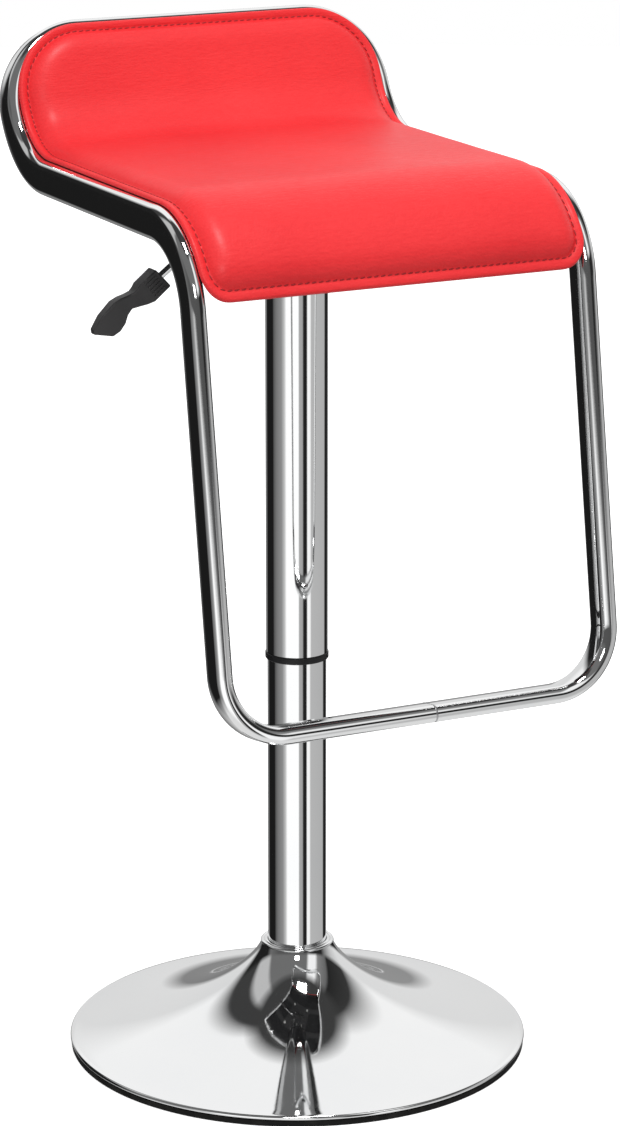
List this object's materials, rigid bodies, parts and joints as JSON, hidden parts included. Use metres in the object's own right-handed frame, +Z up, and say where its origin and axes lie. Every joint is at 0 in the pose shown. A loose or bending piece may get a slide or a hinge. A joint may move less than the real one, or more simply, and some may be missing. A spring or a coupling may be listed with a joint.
{
  "type": "adjustable swivel bar stool",
  "caption": "Swivel bar stool with a round trumpet base, gas-lift column with side lever, bent tube frame with footrest, and a padded low-back seat.",
  "frame": {"origin": "on the swivel axis at floor level, under the middle of the base; the whole stool's box is centred there to within 5 mm", "axes": "+Z up along the swivel axis, -Y towards the sitter's knees and the footrest, +Y towards the low back, -X towards the height lever"},
  "size_m": [0.385, 0.4543, 0.8473],
  "materials": {
    "chrome": "bright polished chrome plate",
    "floor_rubber": "matt black rubber",
    "black_plastic": "fine-textured moulded black plastic",
    "black_steel": "satin black powder coat",
    "cast_iron": "rough casting",
    "zinc_steel": "bright zinc plate",
    "plywood": "bare moulded plywood",
    "foam": "open-cell upholstery foam",
    "red_leatherette": "soft red leatherette with a fine grain, semi-matt",
    "black_lining": "black coated lining cloth, matt"
  },
  "bodies": {
    "base": {"base_shell": "chrome", "floor_ring": "floor_rubber", "stiffener_plate": "black_steel", "ballast_ring": "cast_iron", "hub_sleeve": "black_steel", "collar_bush": "black_plastic", "collar_trim": "chrome", "column_tube": "chrome", "column_end_plate": "black_steel", "guide_bush": "black_plastic", "lower_thrust_washer": "zinc_steel", "ball_cage": "zinc_steel"},
    "spindle": {"piston_rod": "chrome", "upper_thrust_washer": "zinc_steel", "rod_clip": "zinc_steel", "landing_bumper": "floor_rubber", "piston": "black_plastic", "piston_nut": "zinc_steel"},
    "seat": {"gas_cylinder": "black_steel", "rod_gland": "zinc_steel", "rebound_stop": "floor_rubber", "cover_tube": "chrome", "wiper_ring": "black_plastic", "cover_centring_ring": "black_plastic", "taper_hub": "black_steel", "lever_housing": "black_steel", "mount_plate": "black_steel", "front_strap": "black_steel", "rear_strap": "black_steel", "bolt_1": "zinc_steel", "bolt_2": "zinc_steel", "bolt_3": "zinc_steel", "bolt_4": "zinc_steel", "washer_1": "zinc_steel", "washer_2": "zinc_steel", "washer_3": "zinc_steel", "washer_4": "zinc_steel", "tee_nut_1": "zinc_steel", "tee_nut_2": "zinc_steel", "tee_nut_3": "zinc_steel", "tee_nut_4": "zinc_steel", "seat_frame": "chrome", "back_cover": "black_lining", "seat_board": "plywood", "seat_foam": "foam", "seat_cover": "red_leatherette", "lever_pivot_pin": "zinc_steel"},
    "lever": {"lever_rod": "chrome", "lever_grip": "black_plastic"},
    "release": {"release_pin": "zinc_steel"}
  },
  "joints": [
    {"name": "swivel", "type": "hinge", "parent": "base", "child": "spindle", "pos_m": [0, 0, 0.025], "axis": [0, 0, 1], "continuous": true},
    {"name": "height", "type": "slide", "parent": "spindle", "child": "seat", "axis": [0, 0, 1], "range_m": [-0.21, 0]},
    {"name": "lever_lift", "type": "hinge", "parent": "seat", "child": "lever", "pos_m": [-0.028, 0, 0.7086], "axis": [0, 1, 0], "range_deg": [0, 8], "stiffness_Nm_per_rad": 1.2, "springref_deg": -6.88},
    {"name": "valve_press", "type": "slide", "parent": "seat", "child": "release", "axis": [0, 0, 1], "range_m": [-0.0045, 0.0005]}
  ],
  "couplings": [
    {"joint": "valve_press", "follows": "lever_lift", "m_per_rad": -0.028}
  ]
}
